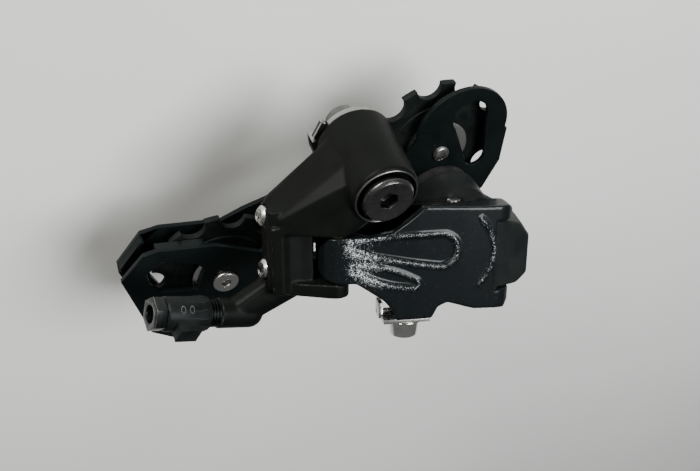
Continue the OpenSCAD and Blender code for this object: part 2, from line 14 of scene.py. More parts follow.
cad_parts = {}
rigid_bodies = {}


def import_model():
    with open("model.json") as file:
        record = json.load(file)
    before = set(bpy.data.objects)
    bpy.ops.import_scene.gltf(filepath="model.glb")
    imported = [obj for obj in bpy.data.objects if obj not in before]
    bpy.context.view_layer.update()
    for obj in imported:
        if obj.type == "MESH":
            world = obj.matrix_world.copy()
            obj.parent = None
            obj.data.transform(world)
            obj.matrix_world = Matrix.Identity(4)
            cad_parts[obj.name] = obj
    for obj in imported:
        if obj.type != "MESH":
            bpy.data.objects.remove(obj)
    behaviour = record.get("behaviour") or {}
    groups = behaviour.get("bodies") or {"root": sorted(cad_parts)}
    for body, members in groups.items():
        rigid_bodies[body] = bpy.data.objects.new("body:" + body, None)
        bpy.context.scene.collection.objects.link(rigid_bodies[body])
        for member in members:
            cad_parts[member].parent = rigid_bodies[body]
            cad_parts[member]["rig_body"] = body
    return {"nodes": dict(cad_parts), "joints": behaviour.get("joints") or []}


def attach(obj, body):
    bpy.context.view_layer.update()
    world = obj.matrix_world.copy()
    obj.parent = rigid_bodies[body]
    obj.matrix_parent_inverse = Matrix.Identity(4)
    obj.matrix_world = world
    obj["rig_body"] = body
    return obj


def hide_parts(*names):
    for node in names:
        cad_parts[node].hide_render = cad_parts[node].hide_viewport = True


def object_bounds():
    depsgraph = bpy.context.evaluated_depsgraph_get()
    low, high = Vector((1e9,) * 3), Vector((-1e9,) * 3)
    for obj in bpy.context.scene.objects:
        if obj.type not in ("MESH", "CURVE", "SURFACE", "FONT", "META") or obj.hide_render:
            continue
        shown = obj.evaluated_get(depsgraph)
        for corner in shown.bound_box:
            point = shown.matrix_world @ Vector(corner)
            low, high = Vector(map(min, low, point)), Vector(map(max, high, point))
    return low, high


bl_info = {
    "name": "Rear Derailleur Looks",
    "version": (1, 0, 0),
    "blender": (4, 5, 0),
    "location": "3D View > Sidebar > Derailleur",
    "description": "Dresses a bicycle's rear derailleur with detailed pieces and finishes",
    "category": "Object",
}

MM = 0.001

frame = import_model()
cad_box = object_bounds()
JOINTS = {joint["name"]: joint for joint in frame["joints"]}


# ------------------------------------------------------------------ places
def joint_point(name):
    """The point that a joint turns about, at rest."""
    return Vector(JOINTS[name]["pos_m"])


def joint_axis(name):
    return Vector(JOINTS[name]["axis"]).normalized()


def axes_at(origin, x, y, z):
    """A frame of place with its origin and its three axes."""
    turn = Matrix((x, y, z)).transposed().to_4x4()
    return Matrix.Translation(origin) @ turn


def linkage_axes():
    """Origin on the bracket's first pin, x along the links, y outboard, z along the pins."""
    origin = joint_point("link_swing")
    along = (joint_point("pulley_body_pivot") - origin).normalized()
    pins = -joint_axis("link_swing")
    return axes_at(origin, along, pins.cross(along), pins)


def spin_axes(joint):
    """Origin and z on a joint's axis."""
    z = joint_axis(joint)
    x = z.orthogonal().normalized()
    return axes_at(joint_point(joint), x, z.cross(x), z)


LINKAGE = linkage_axes()
ADJUSTER = spin_axes("adjuster_turn")
OUTBOARD = LINKAGE.to_3x3() @ Vector((0, 1, 0))


# --------------------------------------------------------------- properties
class DerailleurSizes(bpy.types.PropertyGroup):
    """Sizes of the finished edges and surfaces."""

    casting_grain: bpy.props.FloatProperty(
        name="Casting grain", description="Size of the facets that round a casting",
        default=0.36 * MM, min=0.2 * MM, max=1 * MM, unit="LENGTH", precision=5)
    pressed_edge: bpy.props.FloatProperty(
        name="Pressed edge", description="Rounding on the edges of pressed plates",
        default=0.28 * MM, min=0.05 * MM, max=0.6 * MM, unit="LENGTH", precision=5)
    turned_edge: bpy.props.FloatProperty(
        name="Turned edge", description="Rounding on the edges of screws and pins",
        default=0.16 * MM, min=0.05 * MM, max=0.4 * MM, unit="LENGTH", precision=5)
    panel_depth: bpy.props.FloatProperty(
        name="Panel depth", description="Depth of the hollow panels in the outer link's face",
        default=0.45 * MM, min=0, max=1 * MM, unit="LENGTH", precision=5)
    rim_height: bpy.props.FloatProperty(
        name="Rim height", description="Height of the rim round each hollow panel",
        default=0.4 * MM, min=0, max=1 * MM, unit="LENGTH", precision=5)


class DerailleurColours(bpy.types.PropertyGroup):
    """Base colours of the finishes."""

    casting: bpy.props.FloatVectorProperty(
        name="Casting", description="Satin coat of the bracket body",
        subtype="COLOR", size=3, default=(0.0030, 0.0035, 0.0030))
    knuckle: bpy.props.FloatVectorProperty(
        name="Pulley body", description="Satin coat of the pulley body",
        subtype="COLOR", size=3, default=(0.0085, 0.0098, 0.0095))
    link: bpy.props.FloatVectorProperty(
        name="Link lacquer", description="Ground colour of the outer link's lacquer",
        subtype="COLOR", size=3, default=(0.0032, 0.0045, 0.0050))
    flake: bpy.props.FloatVectorProperty(
        name="Link flake", description="Colour of the metal flakes in the lacquer",
        subtype="COLOR", size=3, default=(0.62, 0.64, 0.65))
    plate: bpy.props.FloatVectorProperty(
        name="Cage plates", description="Coat of the cage plates",
        subtype="COLOR", size=3, default=(0.0034, 0.0050, 0.0050))
    resin: bpy.props.FloatVectorProperty(
        name="Pulley resin", description="Moulded resin of both pulleys",
        subtype="COLOR", size=3, default=(0.0046, 0.0058, 0.0055))
    zinc: bpy.props.FloatVectorProperty(
        name="Zinc", description="Plating of the screws and pins",
        subtype="COLOR", size=3, default=(0.56, 0.55, 0.52))


class DerailleurStage(bpy.types.PropertyGroup):
    """Floor, lights and camera."""

    floor_colour: bpy.props.FloatVectorProperty(
        name="Floor", description="Colour of the floor", subtype="COLOR", size=3,
        default=(0.80, 0.795, 0.755))
    floor_drop: bpy.props.FloatProperty(
        name="Floor drop", description="Gap from the part at rest down to the floor",
        default=29 * MM, min=0, unit="LENGTH")
    camera_place: bpy.props.FloatVectorProperty(
        name="Camera place", description="Where the camera stands", subtype="TRANSLATION",
        size=3, default=(29.9 * MM, 163.7 * MM, 173.1 * MM))
    camera_turn: bpy.props.FloatVectorProperty(
        name="Camera turn", description="The camera's turn", subtype="EULER", size=3,
        default=(math.radians(-46.64), math.radians(-20.5), math.radians(-33.3)))
    camera_lens: bpy.props.FloatProperty(
        name="Lens", description="Focal length in millimetres", default=42.2, min=10)
    daylight: bpy.props.FloatProperty(
        name="Daylight", description="Strength of the even light all round", default=0.17, min=0)
    key_power: bpy.props.FloatProperty(
        name="Key light", description="Power of the main soft light", default=19.0, min=0,
        subtype="POWER", unit="POWER")


# ---------------------------------------------------------------- materials
class Finish:
    """A node-based material and short ways to add the nodes that a finish needs."""

    def __init__(self, name, colour, roughness, metallic=0.0):
        self.material = bpy.data.materials.new(name)
        self.material.use_nodes = True
        self.tree = self.material.node_tree
        self.shader = self.tree.nodes["Principled BSDF"]
        self.shader.inputs["Base Color"].default_value = (*colour, 1)
        self.shader.inputs["Roughness"].default_value = roughness
        self.shader.inputs["Metallic"].default_value = metallic
        self.colour = colour
        coordinates = self.node("ShaderNodeTexCoord")
        self.place = coordinates.outputs["Object"]

    def node(self, kind, **settings):
        made = self.tree.nodes.new(kind)
        for name, value in settings.items():
            setattr(made, name, value)
        return made

    def link(self, output, socket):
        self.tree.links.new(output, socket)

    def set(self, **values):
        """Sets the shader's own sockets, such as coat_weight=1."""
        for name, value in values.items():
            self.shader.inputs[name.replace("_", " ").title().replace("Ior", "IOR")].default_value = value

    def noise(self, size, detail=3.0, roughness=0.55, place=None):
        """Noise whose blotches are about that size."""
        made = self.node("ShaderNodeTexNoise")
        made.inputs["Scale"].default_value = 1 / size
        made.inputs["Detail"].default_value = detail
        made.inputs["Roughness"].default_value = roughness
        self.link(place or self.place, made.inputs["Vector"])
        return made.outputs["Fac"]

    def cells(self, size):
        """Random cells of that size: their distance and their random colour."""
        made = self.node("ShaderNodeTexVoronoi")
        made.inputs["Scale"].default_value = 1 / size
        self.link(self.place, made.inputs["Vector"])
        return made.outputs["Distance"], made.outputs["Color"]

    def attribute(self, name):
        made = self.node("ShaderNodeAttribute", attribute_name=name)
        return made.outputs["Fac"]

    def span(self, value, low, high, to_low, to_high, smooth=False):
        """value from low..high becomes to_low..to_high."""
        made = self.node("ShaderNodeMapRange")
        made.interpolation_type = "SMOOTHSTEP" if smooth else "LINEAR"
        self.link(value, made.inputs["Value"])
        for socket, number in zip(("From Min", "From Max", "To Min", "To Max"),
                                  (low, high, to_low, to_high)):
            made.inputs[socket].default_value = number
        return made.outputs["Result"]

    def math(self, operation, *values):
        """A sum or product of numbers and outputs, in the operation's own order."""
        made = self.node("ShaderNodeMath", operation=operation)
        for socket, value in zip(made.inputs, values):
            if isinstance(value, (int, float)):
                socket.default_value = value
            else:
                self.link(value, socket)
        return made.outputs[0]

    def blend(self, share, first, second):
        """A colour between two colours, each a tuple or an output."""
        made = self.node("ShaderNodeMix", data_type="RGBA")
        self.link(share, made.inputs["Factor"])
        for socket, colour in zip((made.inputs[6], made.inputs[7]), (first, second)):
            if isinstance(colour, tuple):
                socket.default_value = (*colour, 1)
            else:
                self.link(colour, socket)
        return made.outputs[2]

    def bump(self, height, depth, strength=1.0, over=None):
        made = self.node("ShaderNodeBump")
        made.inputs["Strength"].default_value = strength
        made.inputs["Distance"].default_value = depth
        self.link(height, made.inputs["Height"])
        if over is not None:
            self.link(over, made.inputs["Normal"])
        return made.outputs["Normal"]

    def paint(self, colour):
        self.link(colour, self.shader.inputs["Base Color"])

    def roughen(self, value):
        self.link(value, self.shader.inputs["Roughness"])

    def relief(self, normal):
        self.link(normal, self.shader.inputs["Normal"])


def scaled(colour, factor):
    return tuple(min(1.0, channel * factor) for channel in colour)


def satin_coat(name, colour, roughness=0.42):
    """Satin coat on a casting: fine grain, broad tone changes, and ridges painted lighter, partly as rubbed
    edges and partly as a painted highlight.
    """
    finish = Finish(name, colour, roughness)
    tone = finish.noise(7 * MM, detail=4)
    grain = finish.noise(0.22 * MM, detail=3)
    ground = finish.blend(finish.span(tone, 0.35, 0.65, 0, 1), scaled(colour, 0.82), scaled(colour, 1.25))
    # ridges are painted towards a light grey: partly rubbed wear, partly a painted highlight along the edges
    wear_and_highlight = finish.math("MULTIPLY", finish.attribute("edge_wear_and_highlight"),
                       finish.span(finish.noise(1.4 * MM, detail=5), 0.42, 0.7, 0.15, 1))
    finish.paint(finish.blend(finish.span(wear_and_highlight, 0.45, 1.1, 0, 0.3), ground, (0.11, 0.105, 0.095)))
    finish.roughen(finish.span(grain, 0.25, 0.75, roughness - 0.07, roughness + 0.09))
    finish.relief(finish.bump(grain, 0.05 * MM, 0.35))
    finish.set(specular_ior_level=0.05)
    return finish.material


def flake_lacquer(name, colour, flake):
    """Dark lacquer full of metal flakes under a clear coat, with more flakes painted along the panels' rims,
    partly a flake gradient and partly a painted highlight.
    """
    finish = Finish(name, colour, 0.34)
    _, cell = finish.cells(0.16 * MM)
    parts = finish.node("ShaderNodeSeparateColor")
    finish.link(cell, parts.inputs["Color"])
    # the panels' rims get more bright flakes: partly a flake gradient in the paint, partly a painted highlight
    rim = finish.attribute("panel_rim_flake_and_highlight")
    patch = finish.span(finish.noise(1.1 * MM, detail=3), 0.3, 0.7, 0.45, 1)
    level = finish.math("ADD", parts.outputs[0],
                        finish.math("MULTIPLY", finish.math("MULTIPLY", rim, patch), 0.5))
    sparkle = finish.span(level, 0.985, 1.3, 0, 1)
    finish.paint(finish.blend(sparkle, colour, flake))
    # each flake lies at its own tilt
    lean = finish.node("ShaderNodeVectorMath", operation="MULTIPLY_ADD")
    finish.link(cell, lean.inputs[0])
    lean.inputs[1].default_value = (0.9, 0.9, 0.9)
    lean.inputs[2].default_value = (-0.45, -0.45, -0.45)
    tilt = finish.node("ShaderNodeVectorMath", operation="SCALE")
    finish.link(lean.outputs[0], tilt.inputs[0])
    finish.link(finish.math("MULTIPLY_ADD", sparkle, 0.9, 0.06), tilt.inputs["Scale"])
    normal = finish.node("ShaderNodeNewGeometry").outputs["Normal"]
    total = finish.node("ShaderNodeVectorMath", operation="ADD")
    finish.link(tilt.outputs[0], total.inputs[0])
    finish.link(normal, total.inputs[1])
    unit = finish.node("ShaderNodeVectorMath", operation="NORMALIZE")
    finish.link(total.outputs[0], unit.inputs[0])
    finish.relief(unit.outputs[0])
    finish.roughen(finish.span(sparkle, 0, 1, 0.36, 0.24))
    finish.set(specular_ior_level=0.06, coat_weight=0.2, coat_roughness=0.07)
    return finish.material


def plate_coat(name, colour):
    """Semi-gloss coat on pressed steel: faint rolling streaks, dust specks and rubbed edges."""
    finish = Finish(name, colour, 0.3)
    stretch = finish.node("ShaderNodeMapping")
    stretch.inputs["Rotation"].default_value = (0, 0, math.radians(-158))
    stretch.inputs["Scale"].default_value = (0.12, 1, 1)
    finish.link(finish.place, stretch.inputs["Vector"])
    streak = finish.noise(0.5 * MM, detail=4, place=stretch.outputs["Vector"])
    tone = finish.noise(12 * MM, detail=3)
    ground = finish.blend(finish.span(tone, 0.35, 0.65, 0, 1), scaled(colour, 0.8), scaled(colour, 1.3))
    specks = finish.span(finish.noise(0.35 * MM, detail=2), 0.72, 0.8, 0, 0.4)
    finish.paint(finish.blend(specks, ground, (0.07, 0.072, 0.072)))
    finish.roughen(finish.span(streak, 0.3, 0.7, 0.24, 0.4))
    finish.relief(finish.bump(streak, 0.02 * MM, 0.25))
    finish.set(specular_ior_level=0.07)
    return finish.material


def plated_steel(name, colour, roughness=0.26, blotch=0.9 * MM):
    """Zinc or nickel plate: slight clouding, fine scratches, darker blotches."""
    finish = Finish(name, colour, roughness, metallic=1.0)
    cloud = finish.noise(blotch, detail=5)
    finish.paint(finish.blend(finish.span(cloud, 0.35, 0.7, 0, 1), scaled(colour, 0.78), colour))
    finish.roughen(finish.span(cloud, 0.3, 0.7, roughness + 0.1, roughness - 0.06))
    finish.relief(finish.bump(finish.noise(0.12 * MM, detail=2), 0.012 * MM, 0.3))
    return finish.material


def turned_steel(name, colour):
    """Dark polished steel with the rings that a lathe leaves round the bolt's axis."""
    finish = Finish(name, colour, 0.24, metallic=1.0)
    flat = finish.node("ShaderNodeVectorMath", operation="MULTIPLY")
    finish.link(finish.place, flat.inputs[0])
    flat.inputs[1].default_value = (1, 1, 0)
    radius = finish.node("ShaderNodeVectorMath", operation="LENGTH")
    finish.link(flat.outputs[0], radius.inputs[0])
    rings = finish.noise(0.16 * MM, detail=2, place=radius.outputs["Value"])
    cloud = finish.noise(3 * MM, detail=5)
    finish.paint(finish.blend(finish.span(cloud, 0.35, 0.7, 0, 1), scaled(colour, 0.7), scaled(colour, 1.2)))
    finish.roughen(finish.span(cloud, 0.3, 0.7, 0.34, 0.2))
    finish.relief(finish.bump(rings, 0.03 * MM, 0.3))
    return finish.material


def moulded(name, colour, roughness=0.45):
    """Moulded resin or rubber with a fine spark-eroded grain."""
    finish = Finish(name, colour, roughness)
    tone = finish.noise(4 * MM, detail=4)
    grain = finish.noise(0.14 * MM, detail=2)
    finish.paint(finish.blend(finish.span(tone, 0.35, 0.65, 0, 1), scaled(colour, 0.8), scaled(colour, 1.35)))
    finish.roughen(finish.span(tone, 0.3, 0.7, roughness - 0.08, roughness + 0.1))
    finish.relief(finish.bump(grain, 0.03 * MM, 0.35))
    finish.set(specular_ior_level=0.07)
    return finish.material


def finishes():
    """Every finish by its name, made once."""
    colours = bpy.context.scene.derailleur_colours
    made = {
        "satin black coat": lambda n: satin_coat(n, tuple(colours.casting)),
        "satin grey coat": lambda n: satin_coat(n, tuple(colours.knuckle), 0.38),
        "dark link coat": lambda n: satin_coat(n, scaled(tuple(colours.casting), 1.2), 0.4),
        "flake lacquer": lambda n: flake_lacquer(n, tuple(colours.link), tuple(colours.flake)),
        "plate coat": lambda n: plate_coat(n, tuple(colours.plate)),
        "pulley resin": lambda n: moulded(n, tuple(colours.resin), 0.46),
        "knob resin": lambda n: moulded(n, scaled(tuple(colours.resin), 1.15), 0.4),
        "knob mark": lambda n: moulded(n, (0.055, 0.058, 0.058), 0.35),
        "rubbed coat": lambda n: plated_steel(n, (0.16, 0.158, 0.15), 0.34, 1.5 * MM),
        "blued wire": lambda n: plated_steel(n, (0.012, 0.013, 0.013), 0.4),
        "dark plate": lambda n: plated_steel(n, (0.030, 0.032, 0.032), 0.3, 1.5 * MM),
        "seal rubber": lambda n: moulded(n, (0.014, 0.014, 0.014), 0.62),
        "zinc plate": lambda n: plated_steel(n, tuple(colours.zinc)),
        "bright plate": lambda n: plated_steel(n, (0.78, 0.76, 0.71), 0.12, 2.5 * MM),
        "spring wire": lambda n: plated_steel(n, (0.33, 0.33, 0.32), 0.32),
        "sintered bronze": lambda n: plated_steel(n, (0.5, 0.36, 0.19), 0.42, 0.5 * MM),
        "turned steel": lambda n: turned_steel(n, (0.13, 0.13, 0.125)),
    }
    return made


def finish_named(name):
    found = bpy.data.materials.get(name)
    return found or finishes()[name](name)


# ------------------------------------------------------------- mesh helpers
def merged_copy(node):
    """A new mesh with a CAD node's shape, its loose triangles joined and its flats made whole."""
    shape = bmesh.new()
    shape.from_mesh(frame["nodes"][node].data)
    bmesh.ops.remove_doubles(shape, verts=shape.verts, dist=1e-6)
    bmesh.ops.dissolve_limit(shape, angle_limit=math.radians(0.8), verts=shape.verts,
                             edges=shape.edges, delimit=set())
    return shape


def piece_from(shape, name):
    """An object at the origin that holds the shape."""
    mesh = bpy.data.meshes.new(name)
    shape.to_mesh(mesh)
    shape.free()
    piece = bpy.data.objects.new(name, mesh)
    bpy.context.scene.collection.objects.link(piece)
    return piece


def settle(piece):
    """Makes a piece's modifiers part of its mesh."""
    bpy.context.view_layer.update()
    made = bpy.data.meshes.new_from_object(piece.evaluated_get(bpy.context.evaluated_depsgraph_get()))
    piece.modifiers.clear()
    old = piece.data
    piece.data = made
    bpy.data.meshes.remove(old)
    made.name = piece.name


def turned(name, profile, place, steps=72):
    """A ring spun from a closed profile of radius and height in millimetres, about a place's z."""
    shape = bmesh.new()
    corners = [shape.verts.new((r * MM, 0, z * MM)) for r, z in profile]
    edges = [shape.edges.new((a, b)) for a, b in zip(corners, corners[1:] + corners[:1])]
    bmesh.ops.spin(shape, geom=corners + edges, axis=(0, 0, 1), cent=(0, 0, 0),
                   steps=steps, angle=math.tau, use_merge=True)
    bmesh.ops.remove_doubles(shape, verts=shape.verts, dist=1e-7)
    bmesh.ops.recalc_face_normals(shape, faces=shape.faces)
    bmesh.ops.transform(shape, matrix=place, verts=shape.verts)
    piece = piece_from(shape, name)
    shade(piece, 30)
    return piece


def add_detail(piece, body, finish):
    """A piece that stands for no CAD node: it rides on that body."""
    piece.data.materials.append(finish_named(finish))
    add_on_body(piece, body)


def round_profile(radius, height, thick):
    """Closed circle of that thickness round a ring's line, as a spin profile."""
    return [(radius + thick * math.cos(a), height + thick * math.sin(a))
            for a in (math.tau * i / 10 for i in range(10))]


def shade(piece, angle=32):
    piece.data.shade_smooth()
    piece.data.set_sharp_from_angle(angle=math.radians(angle))


def stand_for(piece, node, finish):
    """piece takes a CAD node's place, rides on its body and has that finish."""
    piece.data.materials.clear()
    piece.data.materials.append(finish_named(finish))
    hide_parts(node)
    add_on_body(piece, frame["nodes"][node]["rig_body"])


def add_on_body(piece, body):
    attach(piece, body)


def dress(node, finish):
    """Gives a CAD node that keeps its shape its finish."""
    for place in frame["nodes"][node].material_slots:
        place.material = finish_named(finish)


def eased(node, name, finish, width, segments=2):
    """A CAD node's shape with its sharp edges rounded to that width."""
    piece = piece_from(merged_copy(node), name)
    edge = piece.modifiers.new("edges", "BEVEL")
    edge.width = width
    edge.segments = segments
    edge.limit_method = "ANGLE"
    edge.angle_limit = math.radians(34)
    edge.use_clamp_overlap = True
    settle(piece)
    shade(piece)
    stand_for(piece, node, finish)
    return piece


def cast(node, name, grain, passes):
    """A CAD node's shape remade as a casting with rounded edges and fillets."""
    piece = piece_from(merged_copy(node), name)
    skin = piece.modifiers.new("skin", "REMESH")
    skin.mode = "VOXEL"
    skin.voxel_size = grain
    soft = piece.modifiers.new("soft", "SMOOTH")
    soft.factor = 0.5
    soft.iterations = passes
    settle(piece)
    piece.data.shade_smooth()
    return piece


def mark_edges(piece):
    """Stores how far each point stands out on a ridge, for the finish to paint it lighter as rubbed wear and
    painted highlight.
    """
    shape = bmesh.new()
    shape.from_mesh(piece.data)
    shape.normal_update()
    ridge = []
    for vert in shape.verts:
        rise = sum((vert.co - edge.other_vert(vert).co).dot(vert.normal) / edge.calc_length()
                   for edge in vert.link_edges)
        ridge.append(max(0.0, min(1.2, 9 * rise / max(1, len(vert.link_edges)))))
    shape.free()
    wear_and_highlight = piece.data.attributes.new("edge_wear_and_highlight", "FLOAT", "POINT")
    wear_and_highlight.data.foreach_set("value", ridge)


# ----------------------------------------------------------------- castings
# Rubbed rim round the barrel's mouth, as radius and height in millimetres on the mounting bolt's axis
BARREL_LIP = [(8.62, 27.5), (9.1, 27.5), (9.1, 27.8), (8.98, 27.9), (8.74, 27.9), (8.62, 27.8)]


class DERAILLEUR_OT_castings(bpy.types.Operator):
    """Bracket body and pulley body as rounded castings"""

    bl_idname = "derailleur.castings"
    bl_label = "Castings"

    def execute(self, context):
        sizes = context.scene.derailleur_sizes
        bracket = cast("bracket_body", "bracket_casting", sizes.casting_grain, 7)
        mark_edges(bracket)
        stand_for(bracket, "bracket_body", "satin black coat")
        lip = turned("barrel_lip", BARREL_LIP, Matrix.Identity(4), 96)
        add_detail(lip, "bracket", "rubbed coat")
        lower = cast("pulley_body", "pulley_body_casting", sizes.casting_grain, 7)
        mark_edges(lower)
        stand_for(lower, "pulley_body", "satin grey coat")
        return {"FINISHED"}


# -------------------------------------------------------------- outer link
# Hollow panels in the link's face, in the linkage frame's x and z: both ends, their radii,
# and how much wider the middle is
PANELS = (
    (Vector((5.1, -5.6)), 2.3, Vector((28.6, -3.5)), 4.9, 0.2),
    (Vector((5.0, 1.1)), 1.0, Vector((20.6, 6.0)), 1.5, 1.1),
)
# Curved ridge beside the knuckle: its centre and radius
RIDGE_AT = Vector((31.9, -2.1))
RIDGE_R = 12.6


def panel_distance(point, panel):
    """Distance in millimetres from a tapered panel's outline, negative inside."""
    start, start_r, end, end_r, swell = panel
    run = end - start
    share = max(0.0, min(1.0, (point - start).dot(run) / run.length_squared))
    radius = start_r + (end_r - start_r) * share + swell * 4 * share * (1 - share)
    return (point - start - run * share).length - radius


def ridge_distance(point):
    """Distance in millimetres from the ridge's line, large on the side away from the knuckle."""
    away = point - RIDGE_AT
    return abs(away.length - RIDGE_R) + max(0.0, 8.2 - away.x)


def smooth_step(value, low, high):
    t = max(0.0, min(1.0, (value - low) / (high - low)))
    return t * t * (3 - 2 * t)


class DERAILLEUR_OT_outer_link(bpy.types.Operator):
    """Outer link with its hollow panels and flake lacquer"""

    bl_idname = "derailleur.outer_link"
    bl_label = "Outer link"

    def execute(self, context):
        sizes = context.scene.derailleur_sizes
        link = cast("outer_link", "outer_link_shell", 0.3 * MM, 26)
        self.sculpt(link, sizes)
        stand_for(link, "outer_link", "flake lacquer")
        return {"FINISHED"}

    def sculpt(self, link, sizes):
        """Presses the panels into the outboard face and raises a rim round each."""
        to_linkage = LINKAGE.inverted()
        shape = bmesh.new()
        shape.from_mesh(link.data)
        shape.normal_update()
        rim_flakes_and_highlight = []
        for vert in shape.verts:
            facing = smooth_step(vert.normal.dot(OUTBOARD), 0.5, 0.85)
            local = to_linkage @ vert.co / MM
            if facing <= 0 or local.y < 2.6:
                rim_flakes_and_highlight.append(0.0)
                continue
            spot = Vector((local.x, local.z))
            gap = min((panel_distance(spot, p) for p in PANELS))
            edge = min(abs(gap), ridge_distance(spot))
            inside = 1 - smooth_step(gap, -1.6, 0.0)
            rim = math.exp(-(edge / 0.75) ** 2)
            vert.co += OUTBOARD * facing * (sizes.rim_height * rim - sizes.panel_depth * inside)
            # the flake gradient and painted highlight along the rims are broader and stronger near the bracket
            near = smooth_step(16 - local.x, 0, 10)
            rim_flakes_and_highlight.append(facing * (0.55 + 0.45 * near) * math.exp(-(edge / (0.6 + 1.3 * near)) ** 2))
        shape.to_mesh(link.data)
        shape.free()
        # stored for the lacquer: more flakes along the rims, partly a flake gradient and partly a painted
        # highlight
        stored = link.data.attributes.new("panel_rim_flake_and_highlight", "FLOAT", "POINT")
        stored.data.foreach_set("value", rim_flakes_and_highlight)


class DERAILLEUR_OT_inner_link(bpy.types.Operator):
    """Inner link as a rounded casting"""

    bl_idname = "derailleur.inner_link"
    bl_label = "Inner link"

    def execute(self, context):
        link = cast("inner_link", "inner_link_casting", context.scene.derailleur_sizes.casting_grain, 4)
        mark_edges(link)
        stand_for(link, "inner_link", "dark link coat")
        return {"FINISHED"}


# --------------------------------------------------------------------- cage
class DERAILLEUR_OT_cage(bpy.types.Operator):
    """Cage plates with pressed edges, the stop pin, the pivot and its seal"""

    bl_idname = "derailleur.cage"
    bl_label = "Cage"

    def execute(self, context):
        sizes = context.scene.derailleur_sizes
        for node in ("outer_cage_plate", "inner_cage_plate"):
            eased(node, node + "_pressing", "plate coat", sizes.pressed_edge, 3)
        eased("cage_stop_pin", "stop_pin", "zinc plate", sizes.turned_edge)
        dress("cage_pivot_shaft", "zinc plate")
        eased("cage_seal", "seal_ring", "seal rubber", 0.5 * MM, 3)
        return {"FINISHED"}


# Turned rims of the dust caps, wider than the caps so that they show in the plates' windows
CAP_LIP_R = 10.2
CAP_LIP_INNER_R = 7.6
CAP_LIP_Z = (3.5, 3.75, 3.95)

# Thread on the guide pulley's bolt: its root and crest radius, first crest's height and pitch
BOLT_ROOT_R = 2.3
BOLT_CREST_R = 2.62
BOLT_CREST_Z = 6.24
BOLT_PITCH = 0.28
BOLT_CREST_HALF = 0.12


class DERAILLEUR_OT_pulleys(bpy.types.Operator):
    """Toothed pulleys, their bushes, dust caps and bolts"""

    bl_idname = "derailleur.pulleys"
    bl_label = "Pulleys"

    def execute(self, context):
        sizes = context.scene.derailleur_sizes
        for side in ("guide", "tension"):
            eased(side + "_pulley", side + "_pulley_wheel", "pulley resin", 0.42 * MM, 3)
            dress(side + "_pulley_bush", "zinc plate")
            eased(side + "_pulley_caps", side + "_dust_caps", "zinc plate", 0.35 * MM, 3)
            eased(side + "_pulley_bolt", side + "_bolt", "zinc plate", sizes.turned_edge)
            for face in (1, -1):
                low, edge, top = (face * z for z in CAP_LIP_Z)
                lip = turned("%s_cap_lip_%s" % (side, "out" if face > 0 else "in"),
                             [(CAP_LIP_INNER_R, low), (CAP_LIP_R, low), (CAP_LIP_R, edge),
                              (CAP_LIP_R - 0.4, top), (CAP_LIP_INNER_R, top)],
                             spin_axes(side + "_spin"))
                add_detail(lip, "cage", "zinc plate")
        # thread on the guide pulley's bolt, where it comes through the outer plate
        place = spin_axes("guide_spin")
        for turn in range(3):
            z = BOLT_CREST_Z + BOLT_PITCH * turn
            crest = [(BOLT_ROOT_R, z - BOLT_CREST_HALF), (BOLT_CREST_R, z), (BOLT_ROOT_R, z + BOLT_CREST_HALF)]
            thread = turned("guide_bolt_thread_%d" % turn, crest, place, 40)
            add_detail(thread, "cage", "zinc plate")
        return {"FINISHED"}


# ---------------------------------------------------------------- fasteners
class DERAILLEUR_OT_mounting_bolt(bpy.types.Operator):
    """Mounting bolt, its sleeve and ring, the stop plate and the dust seal"""

    bl_idname = "derailleur.mounting_bolt"
    bl_label = "Mounting bolt"

    def execute(self, context):
        sizes = context.scene.derailleur_sizes
        eased("mounting_bolt", "bolt", "turned steel", 0.3 * MM, 3)
        eased("stop_plate", "stop_plate_pressing", "spring wire", sizes.pressed_edge)
        dress("pivot_sleeve", "zinc plate")
        dress("retaining_ring", "spring wire")
        dress("dust_seal", "seal rubber")
        return {"FINISHED"}


class DERAILLEUR_OT_fasteners(bpy.types.Operator):
    """Screws, pins, bushes, the cable clamp and the springs"""

    bl_idname = "derailleur.fasteners"
    bl_label = "Fasteners"

    def execute(self, context):
        sizes = context.scene.derailleur_sizes
        for node in ("high_limit_screw", "low_limit_screw", "b_tension_screw",
                     "bracket_pins", "outer_link_pin", "inner_link_pin", "cable_clamp_plate"):
            eased(node, node + "_part", "zinc plate", sizes.turned_edge)
        eased("cable_anchor_bolt", "clamp_bolt", "bright plate", 0.3 * MM, 3)
        dress("shaft_retaining_screw", "zinc plate")
        for node in ("link_bushes", "pulley_body_bush"):
            dress(node, "sintered bronze")
        dress("adjuster_spring", "blued wire")
        for node in ("bracket_spring", "return_spring", "cage_spring"):
            dress(node, "spring wire")
        return {"FINISHED"}


# Places of the knob's marks along the adjuster, from its joint's point, how far round from outboard
# they stand in degrees, and the radius that they stand on
KNOB_MARKS = (7.6, 10.2)
KNOB_MARK_TURN = 38
KNOB_R = 4.86


